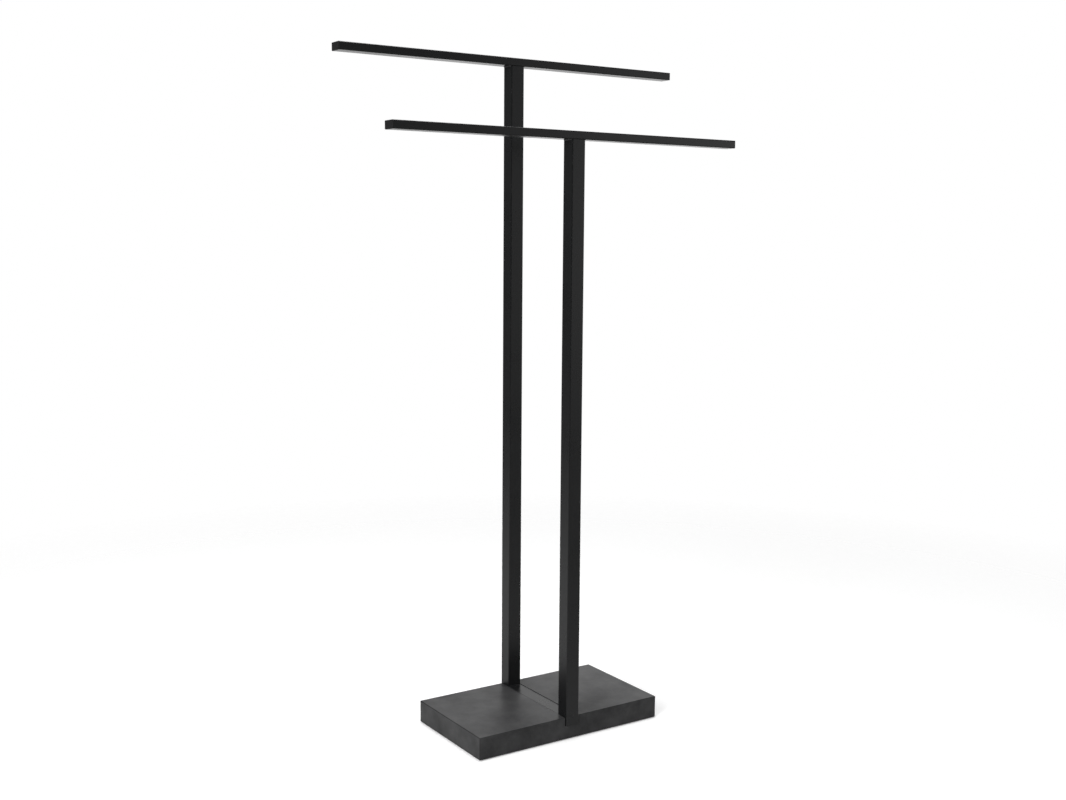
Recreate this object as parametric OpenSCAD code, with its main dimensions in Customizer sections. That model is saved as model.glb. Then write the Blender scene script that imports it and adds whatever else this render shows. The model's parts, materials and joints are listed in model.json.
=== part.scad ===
// Free-standing towel stand: two T-shaped posts, one behind the other, on a stone base.
// Millimetres. X runs along the towel bars, -Y is the front, +Z is up.
// The origin is on the floor, under the middle of the base.

/* [Overall] */
// Height of the rear bar's top above the floor
rear_top = 860; // [700:10:1000]
// Height of the front bar's top above the floor
front_top = 760; // [600:10:860]
// Length of a towel bar over its end caps
bar_l = 500; // [300:10:640]

/* [Posts and bars] */
// Side of the square post tube, also the depth of the bars and the width of the strip
post_s = 19; // [16:1:22]
// Height of a towel bar's section
bar_h = 10; // [9:0.5:14]
// Wall of the post and bar tubes
wall = 1.5; // [1:0.1:1.8]
// Outer corner radius of the tubes
corner_r = 1.2; // [1:0.1:2]
// Thickness of an end cap's flange outside the bar
cap_t = 1.5; // [1:0.1:3]
// Depth that an end cap's plug reaches into the bar
cap_plug_l = 10; // [6:1:16]
// Leg of the welded fillets
weld_leg = 1; // [0.8:0.1:3]

/* [Base] */
// Width of the stone slab
slab_w = 272; // [200:2:340]
// Depth of the stone slab
slab_d = 152; // [130:1:220]
// Height of the slab's top above the floor
slab_top = 29.5; // [28:0.5:40]
// Radius of the slab's eased edges
slab_edge_r = 1; // [0.6:0.1:3]
// Depth of the channel in the slab's top
channel_depth = 11; // [11:0.5:13]
// Gap between a post and each side of the channel
channel_gap = 0.5; // [0.3:0.1:3]
// Distance that a post stands proud of the slab's front or rear face
post_proud = 2; // [0:0.5:2]
// Thickness of the steel strip in the channel
strip_t = 10; // [9:0.5:10.5]
// Depth of the strip's top below the slab's top
strip_recess = 0.5; // [0.1:0.1:0.8]

/* [Feet] */
// Diameter of a rubber foot
foot_dia = 20; // [14:1:26]
// Height of a rubber foot
foot_h = 4; // [3:0.5:6]
// Height that a foot stands out below the slab
foot_proud = 1; // [0.5:0.1:1.5]
// Distance from a foot's centre to the slab's nearest faces
foot_inset = 20; // [16:1:30]

/* [Fasteners] */
// Distance between the two bolts, front to back
bolt_pitch = 70; // [50:2:78]
// Thread diameter of a bolt
bolt_dia = 6; // [5:1:6]
// Length of a bolt's thread in the strip
bolt_grip = 6.3; // [4:0.1:7]
// Outer diameter of the flat washers
washer_dia = 18; // [14:1:20]

/* [Hidden] */
$fn = 48;
EPS = 0.01;
fit = 0.05;

slab_bottom = foot_proud;
slab_t = slab_top - slab_bottom;
channel_floor = slab_top - channel_depth;
channel_w = post_s + 2 * channel_gap;
channel_chamfer = 0.2;

post_y = slab_d / 2 + post_proud - post_s / 2;
post_in = post_s - 2 * wall;
inner_r = 0.5;

tube_l = bar_l - 2 * cap_t;
bar_in = bar_h - 2 * wall;
cap_edge_r = min(corner_r - 0.1, cap_t - 0.3);
cap_rib_h = 0.4;
cap_rib_t = 1;
cap_rib_places = [0.3, 0.7];

strip_l = 2 * post_y - post_s;
strip_top = slab_top - strip_recess;
strip_bottom = strip_top - strip_t;
strip_r = 0.5;
strip_skin = 1.6;

plug_h = 8;
plug_bore_ratio = 0.6;
foot_pocket_d = foot_h - foot_proud;
foot_play = 0.4;
foot_edge_r = 0.8;
foot_x = slab_w / 2 - foot_inset;
foot_y = slab_d / 2 - foot_inset;

head_dia = 1.75 * bolt_dia;
head_h = 0.55 * bolt_dia;
head_r = (pow(head_dia / 2, 2) + pow(head_h, 2)) / (2 * head_h);
key_af = bolt_dia * 2 / 3;
key_depth = head_h * 0.6;
lock_t = 1.6;
lock_w = 0.45 * bolt_dia;
lock_play = 0.1;
lock_split = 10;
flat_t = 1.6;
flat_play = 0.4;
head_recess = 1;
head_z = slab_bottom + head_recess;
bearing_z = head_z + head_h;
counterbore_top = bearing_z + lock_t + flat_t;
bolt_tip_chamfer = 0.8;
bolt_l = strip_bottom - bearing_z + bolt_grip;
clear_dia = bolt_dia + 1;
counterbore_dia = washer_dia + 1;

METAL = [0.035, 0.036, 0.038];
STONE = [0.10, 0.10, 0.105];
RUBBER = [0.02, 0.02, 0.02];
PLASTIC = [0.03, 0.03, 0.03];
ZINC = [0.45, 0.46, 0.48];

// ---- Shared shapes ----

// Rectangle with true round corners, centred on the origin
module rounded_rect(w, h, r) {
    square([w - 2 * r, h], center = true);
    square([w, h - 2 * r], center = true);
    for (x = [-1, 1], y = [-1, 1])
        translate([x * (w / 2 - r), y * (h / 2 - r)])
            circle(r);
}

// Extrudes a profile along X, with the profile's x as Y and its y as Z
module along_x(l) {
    rotate([90, 0, 90])
        linear_extrude(l, center = true)
            children();
}

// Extrudes a profile along Y, with the profile's x as X and its y as Z
module along_y(l) {
    rotate([90, 0, 0])
        linear_extrude(l, center = true)
            children();
}

// Block centred on the origin, with every edge rounded
module eased_block(x, y, z, r) {
    intersection() {
        linear_extrude(z, center = true)
            rounded_rect(x, y, r);
        along_x(x)
            rounded_rect(y, z, r);
        along_y(y)
            rounded_rect(x, z, r);
    }
}

// Right-angled triangle with its corner at the origin and its legs along +x and -y
module fillet_profile(leg) {
    polygon([[0, 0], [leg, 0], [0, -leg]]);
}

// ---- Base ----

// Channel section: straight walls with a small chamfer at the slab's top
module channel_profile() {
    half = channel_w / 2;
    flare = half + channel_chamfer;
    polygon([
        [-half, channel_floor],
        [half, channel_floor],
        [half, slab_top - channel_chamfer],
        [flare, slab_top],
        [flare, slab_top + 1],
        [-flare, slab_top + 1],
        [-flare, slab_top],
        [-half, slab_top - channel_chamfer]
    ]);
}

// Stepped hole for a bolt: a clearance bore above a counterbore for the head and washers
module bolt_passage() {
    translate([0, 0, slab_bottom - 1])
        cylinder(d = clear_dia, h = slab_top);
    translate([0, 0, slab_bottom - 1])
        cylinder(d = counterbore_dia, h = counterbore_top - slab_bottom + 1);
}

module base_slab() {
    color(STONE)
        difference() {
            translate([0, 0, slab_bottom + slab_t / 2])
                eased_block(slab_w, slab_d, slab_t, slab_edge_r);
            along_y(slab_d + 2)
                channel_profile();
            for (side = [-1, 1])
                translate([0, side * bolt_pitch / 2, 0])
                    bolt_passage();
            for (x = [-1, 1], y = [-1, 1])
                translate([x * foot_x, y * foot_y, slab_bottom - 1])
                    cylinder(d = foot_dia + foot_play, h = foot_pocket_d + 1);
        }
}

// Solid flat bar between the posts, with blind threaded holes in its underside
module base_strip() {
    thread_depth = strip_t - strip_skin;
    color(METAL)
        difference() {
            translate([0, 0, strip_bottom + strip_t / 2])
                along_y(strip_l)
                    rounded_rect(post_s, strip_t, strip_r);
            for (side = [-1, 1])
                translate([0, side * bolt_pitch / 2, strip_bottom - 1])
                    cylinder(d = bolt_dia, h = thread_depth + 1);
        }
}

// ---- Posts and bars ----

// Square tube standing in the channel, up to the underside of its bar
module post(side, top) {
    color(METAL)
        translate([0, side * post_y, channel_floor])
            linear_extrude(top - bar_h - channel_floor)
                difference() {
                    rounded_rect(post_s, post_s, corner_r);
                    rounded_rect(post_in, post_in, inner_r);
                }
}

// Rectangular tube lying across its post's top, flush with the post front and back
module towel_bar(side, top) {
    color(METAL)
        translate([0, side * post_y, top - bar_h / 2])
            along_x(tube_l)
                difference() {
                    rounded_rect(post_s, bar_h, corner_r);
                    rounded_rect(post_in, bar_in, inner_r);
                }
}

// Push-in cap: an eased flange on the bar's end, and a plug with two ribs inside the bar
module bar_cap(side, top, end) {
    plug_w = post_in - 2 * fit;
    plug_t = bar_in - 2 * fit;
    color(METAL)
        translate([end * tube_l / 2, side * post_y, top - bar_h / 2])
            scale([end, 1, 1]) {
                intersection() {
                    translate([cap_t / 2 - cap_edge_r, 0, 0])
                        eased_block(cap_t + 2 * cap_edge_r, post_s, bar_h, cap_edge_r);
                    translate([cap_t / 2, 0, 0])
                        along_x(cap_t)
                            rounded_rect(post_s, bar_h, corner_r);
                }
                translate([EPS - cap_plug_l / 2, 0, 0])
                    along_x(cap_plug_l)
                        rounded_rect(plug_w - 2 * cap_rib_h, plug_t, inner_r);
                for (place = cap_rib_places)
                    translate([-place * cap_plug_l, 0, 0])
                        along_x(cap_rib_t)
                            rounded_rect(plug_w, plug_t, inner_r);
            }
}

// Two fillets under a bar, one on each side of its post
module bar_weld(side, top) {
    bead_l = post_s - 2 * corner_r;
    color(METAL)
        for (turn = [0, 180])
            translate([0, side * post_y, top - bar_h])
                rotate([0, 0, turn])
                    translate([post_s / 2, 0, 0])
                        along_y(bead_l)
                            fillet_profile(weld_leg);
}

// Fillet across the strip's top, against the post
module foot_weld(side) {
    bead_l = post_s - 2 * corner_r;
    color(METAL)
        translate([0, side * strip_l / 2, strip_top])
            rotate([0, 0, side * 90])
                rotate([0, 0, 180])
                    along_y(bead_l)
                        rotate(90)
                            fillet_profile(weld_leg);
}

// Plug that closes the post's foot
module post_plug(side) {
    plug_w = post_in - 2 * fit;
    color(PLASTIC)
        translate([0, side * post_y, channel_floor])
            difference() {
                linear_extrude(plug_h)
                    rounded_rect(plug_w, plug_w, inner_r);
                translate([0, 0, plug_h / 2])
                    cylinder(d = plug_bore_ratio * plug_w, h = plug_h);
            }
}

// ---- Fasteners ----

// Button-head bolt with a hexagon socket, head down
module bolt(side) {
    color(ZINC)
        translate([0, side * bolt_pitch / 2, bearing_z])
            difference() {
                union() {
                    intersection() {
                        translate([0, 0, -head_h])
                            cylinder(d = head_dia, h = head_h);
                        translate([0, 0, head_r - head_h])
                            sphere(head_r);
                    }
                    cylinder(d = bolt_dia - 2 * fit, h = bolt_l - bolt_tip_chamfer);
                    translate([0, 0, bolt_l - bolt_tip_chamfer])
                        cylinder(
                            d1 = bolt_dia - 2 * fit,
                            d2 = bolt_dia - 2 * bolt_tip_chamfer,
                            h = bolt_tip_chamfer
                        );
                }
                translate([0, 0, -head_h - 1])
                    cylinder(d = key_af / cos(30), h = key_depth + 1, $fn = 6);
            }
}

// Split spring washer under the head
module lock_washer(side) {
    inner = bolt_dia / 2 + lock_play;
    color(ZINC)
        translate([0, side * bolt_pitch / 2, bearing_z])
            rotate([0, 0, lock_split / 2])
                rotate_extrude(angle = 360 - lock_split)
                    translate([inner, 0])
                        square([lock_w, lock_t]);
}

// Wide flat washer against the stone
module flat_washer(side) {
    color(ZINC)
        translate([0, side * bolt_pitch / 2, bearing_z + lock_t])
            difference() {
                cylinder(d = washer_dia, h = flat_t);
                translate([0, 0, -1])
                    cylinder(d = bolt_dia + flat_play, h = flat_t + 2);
            }
}

// ---- Feet ----

// Rubber foot with a rounded lower edge
module foot(x, y) {
    r = foot_dia / 2;
    color(RUBBER)
        translate([x * foot_x, y * foot_y, 0])
            rotate_extrude() {
                square([r - foot_edge_r, foot_h]);
                translate([0, foot_edge_r])
                    square([r, foot_h - foot_edge_r]);
                intersection() {
                    translate([r - foot_edge_r, foot_edge_r])
                        circle(foot_edge_r);
                    square(r);
                }
            }
}

// ---- Named pieces ----

module front_post() { post(-1, front_top); }
module rear_post() { post(1, rear_top); }
module front_towel_bar() { towel_bar(-1, front_top); }
module rear_towel_bar() { towel_bar(1, rear_top); }
module front_bar_left_cap() { bar_cap(-1, front_top, -1); }
module front_bar_right_cap() { bar_cap(-1, front_top, 1); }
module rear_bar_left_cap() { bar_cap(1, rear_top, -1); }
module rear_bar_right_cap() { bar_cap(1, rear_top, 1); }
module front_bar_weld() { bar_weld(-1, front_top); }
module rear_bar_weld() { bar_weld(1, rear_top); }
module front_foot_weld() { foot_weld(-1); }
module rear_foot_weld() { foot_weld(1); }
module front_post_plug() { post_plug(-1); }
module rear_post_plug() { post_plug(1); }
module front_bolt() { bolt(-1); }
module rear_bolt() { bolt(1); }
module front_flat_washer() { flat_washer(-1); }
module rear_flat_washer() { flat_washer(1); }
module front_lock_washer() { lock_washer(-1); }
module rear_lock_washer() { lock_washer(1); }
module front_left_foot() { foot(-1, -1); }
module front_right_foot() { foot(1, -1); }
module rear_left_foot() { foot(-1, 1); }
module rear_right_foot() { foot(1, 1); }

base_slab();
base_strip();
front_post();
rear_post();
front_towel_bar();
rear_towel_bar();
front_bar_left_cap();
front_bar_right_cap();
rear_bar_left_cap();
rear_bar_right_cap();
front_bar_weld();
rear_bar_weld();
front_foot_weld();
rear_foot_weld();
front_post_plug();
rear_post_plug();
front_bolt();
rear_bolt();
front_flat_washer();
rear_flat_washer();
front_lock_washer();
rear_lock_washer();
front_left_foot();
front_right_foot();
rear_left_foot();
rear_right_foot();
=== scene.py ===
"""Looks, studio and camera for the two-bar towel stand. Metres, +Z up, the front is -Y."""

import json
import math

import bmesh
import bpy
from mathutils import Matrix, Vector


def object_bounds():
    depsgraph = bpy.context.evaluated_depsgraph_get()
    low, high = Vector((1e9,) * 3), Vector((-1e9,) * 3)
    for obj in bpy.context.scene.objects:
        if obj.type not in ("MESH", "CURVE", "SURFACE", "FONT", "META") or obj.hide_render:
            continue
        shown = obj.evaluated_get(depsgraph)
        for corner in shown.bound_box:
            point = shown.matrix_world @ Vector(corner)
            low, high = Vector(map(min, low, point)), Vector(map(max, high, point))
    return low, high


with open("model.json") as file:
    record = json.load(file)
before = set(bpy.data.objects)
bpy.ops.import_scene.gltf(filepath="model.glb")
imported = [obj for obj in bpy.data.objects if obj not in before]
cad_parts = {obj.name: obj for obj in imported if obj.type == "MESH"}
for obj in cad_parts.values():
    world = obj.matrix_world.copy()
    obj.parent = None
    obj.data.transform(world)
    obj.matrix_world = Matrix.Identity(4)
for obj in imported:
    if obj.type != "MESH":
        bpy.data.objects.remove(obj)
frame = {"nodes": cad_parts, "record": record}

CAD_LOW, CAD_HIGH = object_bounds()

# ---- Camera: where it stands, its turn from +Y towards +X, its tilt down and its roll ----
CAMERA_SPOT = (-0.9033, -1.3545, 0.6330)
CAMERA_TURN = math.radians(33.34)
CAMERA_TILT = math.radians(7.235)
CAMERA_ROLL = math.radians(0.411)
CAMERA_LENS = 43.26
CAMERA_CLIP = (0.05, 50.0)
SENSOR_WIDTH = 36.0

# ---- Floor: a disc, seen nearly white, but grey in light and reflections ----
FLOOR_RADIUS = 3.0
FLOOR_SIDES = 96
FLOOR_ROUGHNESS = 0.9
FLOOR_SPECULAR = 0.1
FLOOR_SHOWN = 0.93
# A little light of its own, towards the camera only
FLOOR_LIFT = 0.20
# The other grey rises in this direction: from and to in metres, then the grey at each
FLOOR_TOWARDS_LIGHT = (-0.6, 0.8, 0.0)
FLOOR_REFLECTED = (-0.8, 0.5, 0.30, 0.56)
# Where the floor starts to fade out and where it is gone: in light, then to the camera
FLOOR_FADE = (0.7, 2.85)
FLOOR_FADE_SHOWN = (0.4, 1.5)

# ---- Surround: white to the camera, uneven and darker in light and reflections ----
BACKDROP_WHITE = (1.0, 1.0, 1.0, 1.0)
SURROUND_BASE = 0.08
# Where each soft bright region lies, its half width, its level, and how many times flatter
# it is than it is wide
SURROUND_LOBES = (
    ((0.75, 0.66, 0.00), math.radians(66), 1.15, 2.0),
    ((0.905, -0.425, 0.05), math.radians(37), 1.2, 1.5),
    ((0.57, -0.82, -0.04), math.radians(17), 0.22, 3.0),
    ((-0.55, 0.83, 0.0), math.radians(42), 0.03, 1.0),
)
# It dims from the first height to the second, from the third number's share to the fourth's
SURROUND_CEILING = (0.38, 0.60, 1.0, 0.45)

# ---- Lamps: spot, width, height, watts, and whether it shows in reflections ----
# The left lamps don't: they would wash out faces that are seen edge-on from the right
LAMP_AIM = (0.0, 0.0, 0.4)
LAMPS = {
    "key_left": ((-2.2, -1.0, 1.45), 1.2, 1.6, 54.0, False),
    "edge_left": ((-2.2, -1.0, 1.10), 1.2, 0.3, 14.0, False),
    "overhead": ((0.1, 0.1, 2.6), 1.6, 1.6, 50.0, True),
}

# ---- Materials ----
# Of a noise layer, the scale is features per metre and the offset keeps it from lining up
# with the others. A depth is a bump's full height in metres.
# The range that most noise values lie in
NOISE_SPREAD = (0.3, 0.7)

COAT_COLOURS = ((0.0055, 0.0058, 0.0062), (0.0085, 0.0088, 0.0092))
COAT_ROUGHNESS = (0.25, 0.32)
COAT_CLOUDS = {"scale": 22.0, "detail": 3.0}
COAT_PEEL = {"scale": 1100.0, "detail": 2.0, "offset": 3.0}
COAT_PEEL_DEPTH = 0.000006
COAT_GRAIN = {"scale": 3200.0, "detail": 1.0, "offset": 9.0}
COAT_GRAIN_DEPTH = 0.000002

CAP_COLOURS = ((0.010, 0.010, 0.0105), (0.015, 0.015, 0.0155))
CAP_ROUGHNESS = (0.44, 0.52)
CAP_IOR = 1.38
CAP_CLOUDS = {"scale": 40.0, "detail": 2.0, "offset": 1.0}
CAP_GRAIN = {"scale": 2200.0, "detail": 2.0, "offset": 5.0}
CAP_GRAIN_DEPTH = 0.000012

STONE_COLOURS = ((0.031, 0.031, 0.032), (0.060, 0.060, 0.061))
STONE_ROUGHNESS = (0.44, 0.32)
STONE_IOR = 1.28
STONE_CLOUDS = {"scale": 15.0, "detail": 4.0, "roughness": 0.5, "offset": 7.0}
STONE_MOTTLE = {"scale": 52.0, "detail": 4.0, "roughness": 0.6, "offset": 2.0}
STONE_MOTTLE_DEPTH = 0.00004
STONE_GRAIN = {"scale": 900.0, "detail": 3.0, "roughness": 0.7, "offset": 4.0}
STONE_GRAIN_DEPTH = 0.00002
# What clouds, mottling and grain each add to the tone, and the tones of the two colours
STONE_TONE_SHARES = (0.5, 0.7, 0.24)
STONE_TONE_RANGE = (0.55, 0.89)
# Pits about half a millimetre across, which lie where the mottling is light and are painted
# darker as shade inside them
PIT_SCALE = 230.0
PIT_EDGE = (0.04, 0.10)
PIT_PATCHES = (0.50, 0.58)
PIT_PAINTED_SHADE = 0.5
PIT_DEPTH = 0.00012
# The largest part of the normal on a rounded edge and on a flat face
ARRIS_NORMAL = (0.80, 0.98)
# Painted shade on the stone's rounded edges: how much darker they are painted
ARRIS_PAINTED_SHADE = 0.45

ZINC_COLOURS = ((0.40, 0.41, 0.43), (0.56, 0.57, 0.58))
ZINC_ROUGHNESS = (0.28, 0.42)
ZINC_CLOUDS = {"scale": 260.0, "detail": 4.0}

RUBBER_COLOURS = ((0.012, 0.012, 0.012), (0.022, 0.022, 0.022))
RUBBER_ROUGHNESS = (0.70, 0.85)
RUBBER_GRAIN = {"scale": 1500.0, "detail": 3.0}
RUBBER_GRAIN_DEPTH = 0.00003

BLACK = (0.0, 0.0, 0.0)
# A Mix node's sockets by its data type: first input, second input, result
MIX_SOCKETS = {"FLOAT": (2, 3, 0), "RGBA": (6, 7, 2)}


# ---- Node helpers ----


def node(tree, kind, **settings):
    """A node of that kind. A setting is one of its properties, or an input of that name."""
    made = tree.nodes.new(kind)
    for key, value in settings.items():
        if hasattr(made, key):
            setattr(made, key, value)
        else:
            made.inputs[key.replace("_", " ")].default_value = value
    return made


def feed(tree, socket, operand):
    """Sets the socket to a number or a colour, or links another socket to it."""
    if isinstance(operand, (int, float)):
        socket.default_value = operand
    elif isinstance(operand, tuple):
        socket.default_value = (*operand, 1.0)
    else:
        tree.links.new(operand, socket)


def math_step(tree, operation, first, second):
    """One arithmetic step; each operand is a socket or a number."""
    made = node(tree, "ShaderNodeMath", operation=operation)
    feed(tree, made.inputs[0], first)
    feed(tree, made.inputs[1], second)
    return made.outputs[0]


def add_up(tree, terms):
    """The sum of a list of sockets and numbers."""
    total = terms[0]
    for term in terms[1:]:
        total = math_step(tree, "ADD", total, term)
    return total


def vector_step(tree, operation, vector, operand=None):
    """One vector step; the operand is three numbers. A dot product or length is a number."""
    made = node(tree, "ShaderNodeVectorMath", operation=operation)
    tree.links.new(vector, made.inputs[0])
    if operand is not None:
        made.inputs[1].default_value = operand
    is_number = operation in ("DOT_PRODUCT", "LENGTH")
    return made.outputs["Value" if is_number else "Vector"]


def separate(tree, vector):
    """The X, Y and Z of a vector."""
    made = node(tree, "ShaderNodeSeparateXYZ")
    tree.links.new(vector, made.inputs[0])
    return made.outputs["X"], made.outputs["Y"], made.outputs["Z"]


def mix(tree, data_type, factor, first, second):
    """first where the factor is 0 and second where it is 1."""
    made = node(tree, "ShaderNodeMix", data_type=data_type)
    first_input, second_input, result = MIX_SOCKETS[data_type]
    tree.links.new(factor, made.inputs[0])
    feed(tree, made.inputs[first_input], first)
    feed(tree, made.inputs[second_input], second)
    return made.outputs[result]


def ramp(tree, value, low, high, out_low, out_high, curve="LINEAR"):
    """value from low..high mapped to out_low..out_high, clamped."""
    made = node(tree, "ShaderNodeMapRange", interpolation_type=curve)
    made.inputs["From Min"].default_value = low
    made.inputs["From Max"].default_value = high
    made.inputs["To Min"].default_value = out_low
    made.inputs["To Max"].default_value = out_high
    tree.links.new(value, made.inputs["Value"])
    return made.outputs["Result"]


def noise(tree, coordinates, scale, detail, roughness=0.5, offset=0.0):
    """A layer of noise over the part's own coordinates."""
    shifted = vector_step(tree, "ADD", coordinates, (offset, offset, offset))
    made = node(
        tree, "ShaderNodeTexNoise", Scale=scale, Detail=detail, Roughness=roughness
    )
    tree.links.new(shifted, made.inputs["Vector"])
    return made.outputs["Fac"]


def bump(tree, height, depth, before=None):
    """A bump from a height of 0..1, on top of the one before it."""
    made = node(tree, "ShaderNodeBump", Strength=1.0, Distance=depth)
    tree.links.new(height, made.inputs["Height"])
    if before is not None:
        tree.links.new(before, made.inputs["Normal"])
    return made.outputs["Normal"]


def part_coordinates(tree):
    """Coordinates in metres in the part's frame."""
    return node(tree, "ShaderNodeTexCoord").outputs["Object"]


# ---- Materials ----


def new_material(name):
    """A node material with its tree and the Principled shader wired to its output."""
    material = bpy.data.materials.new(name)
    material.use_nodes = True
    tree = material.node_tree
    return material, tree, tree.nodes["Principled BSDF"]


def vary_roughness(tree, shader, layer, roughness):
    """Roughness from its first value to its second as the noise layer rises."""
    rough = ramp(tree, layer, *NOISE_SPREAD, *roughness)
    tree.links.new(rough, shader.inputs["Roughness"])


def vary_colour(tree, shader, layer, colours):
    """Colour from the first to the second as the noise layer rises."""
    tree.links.new(mix(tree, "RGBA", layer, *colours), shader.inputs["Base Color"])


def coated_metal():
    """Satin black powder coat: near-black with a very fine orange peel."""
    material, tree, shader = new_material("satin_black_coat")
    where = part_coordinates(tree)
    clouds = noise(tree, where, **COAT_CLOUDS)
    vary_colour(tree, shader, clouds, COAT_COLOURS)
    vary_roughness(tree, shader, clouds, COAT_ROUGHNESS)
    peel = bump(tree, noise(tree, where, **COAT_PEEL), COAT_PEEL_DEPTH)
    grain = bump(tree, noise(tree, where, **COAT_GRAIN), COAT_GRAIN_DEPTH, before=peel)
    tree.links.new(grain, shader.inputs["Normal"])
    return material


def moulded_cap():
    """Black moulded plastic of the end caps and plugs, a little duller than the coat."""
    material, tree, shader = new_material("moulded_black_plastic")
    where = part_coordinates(tree)
    clouds = noise(tree, where, **CAP_CLOUDS)
    vary_colour(tree, shader, clouds, CAP_COLOURS)
    vary_roughness(tree, shader, clouds, CAP_ROUGHNESS)
    shader.inputs["IOR"].default_value = CAP_IOR
    grain = bump(tree, noise(tree, where, **CAP_GRAIN), CAP_GRAIN_DEPTH)
    tree.links.new(grain, shader.inputs["Normal"])
    return material


def arris(tree):
    """1 on a rounded edge and 0 on the flat faces it joins."""
    normal = node(tree, "ShaderNodeTexCoord").outputs["Normal"]
    x, y, z = separate(tree, vector_step(tree, "ABSOLUTE", normal))
    largest = math_step(tree, "MAXIMUM", math_step(tree, "MAXIMUM", x, y), z)
    return ramp(tree, largest, *ARRIS_NORMAL, 1.0, 0.0)


def stone_pits(tree, coordinates, patches):
    """1 in small scattered pits, which lie in patches."""
    cells = node(tree, "ShaderNodeTexVoronoi", Scale=PIT_SCALE)
    tree.links.new(coordinates, cells.inputs["Vector"])
    pit = ramp(tree, cells.outputs["Distance"], *PIT_EDGE, 1.0, 0.0)
    return math_step(tree, "MULTIPLY", pit, ramp(tree, patches, *PIT_PATCHES, 0.0, 1.0))


def honed_stone():
    """Smooth charcoal stone: soft clouds, finer mottling, fine grain and a few small pits,
    with painted shade on its rounded edges and in the pits.
    """
    material, tree, shader = new_material("honed_charcoal_stone")
    where = part_coordinates(tree)
    clouds = noise(tree, where, **STONE_CLOUDS)
    mottle = noise(tree, where, **STONE_MOTTLE)
    grain = noise(tree, where, **STONE_GRAIN)
    pits = stone_pits(tree, where, mottle)

    tone = add_up(tree, [
        math_step(tree, "MULTIPLY", layer, share)
        for layer, share in zip((clouds, mottle, grain), STONE_TONE_SHARES)
    ])
    shade = ramp(tree, tone, *STONE_TONE_RANGE, 0.0, 1.0)
    colour = mix(tree, "RGBA", shade, *STONE_COLOURS)
    # Painted shade: the rounded edges are painted darker, standing in for the dark line they
    # show in light
    painted_edge_shade = math_step(tree, "MULTIPLY", arris(tree), ARRIS_PAINTED_SHADE)
    # Painted shade: the pits are painted darker as well, and the darker of the two is kept
    painted_shade = math_step(tree, "MAXIMUM", painted_edge_shade, math_step(tree, "MULTIPLY", pits, PIT_PAINTED_SHADE))
    tree.links.new(mix(tree, "RGBA", painted_shade, colour, BLACK), shader.inputs["Base Color"])

    vary_roughness(tree, shader, clouds, STONE_ROUGHNESS)
    shader.inputs["IOR"].default_value = STONE_IOR
    soft = bump(tree, mottle, STONE_MOTTLE_DEPTH)
    fine = bump(tree, grain, STONE_GRAIN_DEPTH, before=soft)
    solid = math_step(tree, "SUBTRACT", 1.0, pits)
    tree.links.new(bump(tree, solid, PIT_DEPTH, before=fine), shader.inputs["Normal"])
    return material


def zinc_plate():
    """Zinc-plated steel of the bolts and washers."""
    material, tree, shader = new_material("zinc_plated_steel")
    clouds = noise(tree, part_coordinates(tree), **ZINC_CLOUDS)
    vary_colour(tree, shader, clouds, ZINC_COLOURS)
    vary_roughness(tree, shader, clouds, ZINC_ROUGHNESS)
    shader.inputs["Metallic"].default_value = 1.0
    return material


def matt_rubber():
    """Matt black rubber of the feet."""
    material, tree, shader = new_material("matt_black_rubber")
    grain = noise(tree, part_coordinates(tree), **RUBBER_GRAIN)
    vary_colour(tree, shader, grain, RUBBER_COLOURS)
    vary_roughness(tree, shader, grain, RUBBER_ROUGHNESS)
    tree.links.new(bump(tree, grain, RUBBER_GRAIN_DEPTH), shader.inputs["Normal"])
    return material


def dress_frame():
    """Gives each CAD node the material of its slot in the record."""
    cap = moulded_cap()
    by_slot = {
        "stone_base": honed_stone(),
        "frame_metal": coated_metal(),
        "end_caps": cap,
        "plugs": cap,
        "fasteners": zinc_plate(),
        "feet": matt_rubber(),
    }
    slots = {s["node"]: s["material_slot"] for s in frame["record"]["subparts"]}
    for name, part in frame["nodes"].items():
        for holder in part.material_slots:
            holder.material = by_slot[slots[name]]


# ---- Studio ----


def pale_floor():
    """Matt, nearly white to the camera and grey to everything else, and fading outwards."""
    material, tree, shader = new_material("pale_floor")
    where = part_coordinates(tree)
    seen = node(tree, "ShaderNodeLightPath").outputs["Is Camera Ray"]

    along = vector_step(tree, "DOT_PRODUCT", where, FLOOR_TOWARDS_LIGHT)
    grey = mix(tree, "FLOAT", seen, ramp(tree, along, *FLOOR_REFLECTED), FLOOR_SHOWN)
    tree.links.new(grey, shader.inputs["Base Color"])
    shader.inputs["Roughness"].default_value = FLOOR_ROUGHNESS
    shader.inputs["Specular IOR Level"].default_value = FLOOR_SPECULAR
    shader.inputs["Emission Color"].default_value = BACKDROP_WHITE
    lift = math_step(tree, "MULTIPLY", seen, FLOOR_LIFT)
    tree.links.new(lift, shader.inputs["Emission Strength"])

    far = vector_step(tree, "LENGTH", where)
    in_light = ramp(tree, far, *FLOOR_FADE, 1.0, 0.0)
    to_camera = ramp(tree, far, *FLOOR_FADE_SHOWN, 1.0, 0.0)
    tree.links.new(mix(tree, "FLOAT", seen, in_light, to_camera), shader.inputs["Alpha"])
    return material


def make_floor():
    """A disc under the stand that fades out into the white surround."""
    mesh = bpy.data.meshes.new("floor")
    shape = bmesh.new()
    bmesh.ops.create_circle(shape, cap_ends=True, segments=FLOOR_SIDES, radius=FLOOR_RADIUS)
    shape.to_mesh(mesh)
    shape.free()
    mesh.materials.append(pale_floor())
    floor = bpy.data.objects.new("floor", mesh)
    bpy.context.scene.collection.objects.link(floor)
    floor.location.z = CAD_LOW.z


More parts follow.
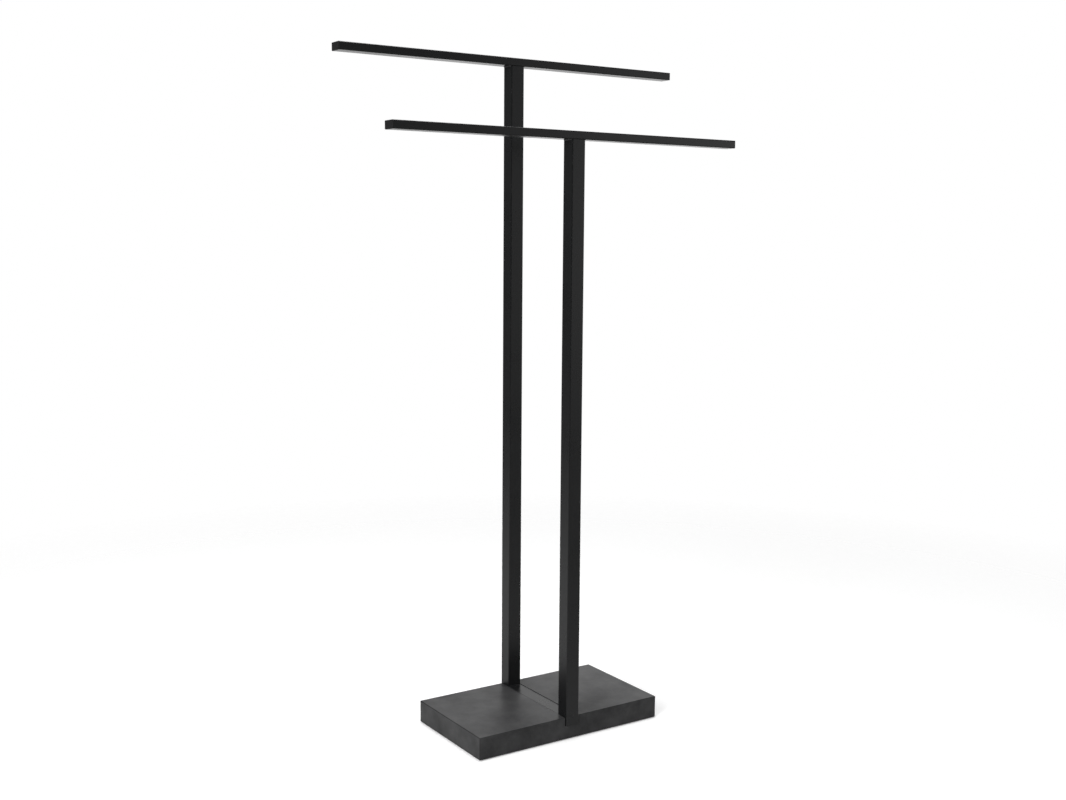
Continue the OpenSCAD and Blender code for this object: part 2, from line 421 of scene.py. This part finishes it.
def direction_lobe(tree, direction, aim, half_width, level, flatness):
    """Brightness that rises smoothly from 0 at half_width off aim to level at aim."""
    stretched = vector_step(tree, "MULTIPLY", direction, (1.0, 1.0, flatness))
    unit = vector_step(tree, "NORMALIZE", stretched)
    near = vector_step(tree, "DOT_PRODUCT", unit, Vector(aim).normalized())
    return ramp(tree, near, math.cos(half_width), 1.0, 0.0, level, curve="SMOOTHSTEP")


def make_surround():
    """A white surround for the camera, and a softer, uneven one for light and reflections."""
    world = bpy.data.worlds.new("surround")
    bpy.context.scene.world = world
    world.use_nodes = True
    tree = world.node_tree
    tree.nodes.clear()
    out = node(tree, "ShaderNodeOutputWorld")
    shown = node(tree, "ShaderNodeBackground", Color=BACKDROP_WHITE, Strength=1.0)
    lit = node(tree, "ShaderNodeBackground", Strength=1.0)
    which = node(tree, "ShaderNodeLightPath")
    either = node(tree, "ShaderNodeMixShader")
    tree.links.new(which.outputs["Is Camera Ray"], either.inputs[0])
    tree.links.new(lit.outputs[0], either.inputs[1])
    tree.links.new(shown.outputs[0], either.inputs[2])
    tree.links.new(either.outputs[0], out.inputs["Surface"])

    direction = node(tree, "ShaderNodeTexCoord").outputs["Generated"]
    lobes = [direction_lobe(tree, direction, *lobe) for lobe in SURROUND_LOBES]
    height = separate(tree, direction)[2]
    ceiling = ramp(tree, height, *SURROUND_CEILING)
    total = add_up(tree, [*lobes, SURROUND_BASE])
    tree.links.new(math_step(tree, "MULTIPLY", total, ceiling), lit.inputs["Color"])


def make_lamps():
    """Soft rectangular lamps that the camera doesn't see."""
    for name, (spot, width, height, power, reflected) in LAMPS.items():
        lamp = bpy.data.lights.new(name, "AREA")
        lamp.shape = "RECTANGLE"
        lamp.size = width
        lamp.size_y = height
        lamp.energy = power
        holder = bpy.data.objects.new(name, lamp)
        bpy.context.scene.collection.objects.link(holder)
        holder.location = spot
        beam = Vector(LAMP_AIM) - Vector(spot)
        holder.rotation_euler = beam.to_track_quat("-Z", "Y").to_euler()
        holder.visible_camera = False
        holder.visible_glossy = reflected


def make_camera():
    """The main view's camera, turned, tilted and rolled at its spot."""
    lens = bpy.data.cameras.new("camera")
    lens.lens = CAMERA_LENS
    lens.sensor_width = SENSOR_WIDTH
    lens.clip_start, lens.clip_end = CAMERA_CLIP
    camera = bpy.data.objects.new("camera", lens)
    bpy.context.scene.collection.objects.link(camera)
    camera.matrix_world = (
        Matrix.Translation(CAMERA_SPOT)
        @ Matrix.Rotation(-CAMERA_TURN, 4, "Z")
        @ Matrix.Rotation(math.pi / 2 - CAMERA_TILT, 4, "X")
        @ Matrix.Rotation(CAMERA_ROLL, 4, "Z")
    )
    bpy.context.scene.camera = camera


def main():
    """Camera, materials, floor, surround and lamps, shown without tone mapping."""
    make_camera()
    dress_frame()
    make_floor()
    make_surround()
    make_lamps()
    bpy.context.scene.view_settings.view_transform = "Standard"


main()
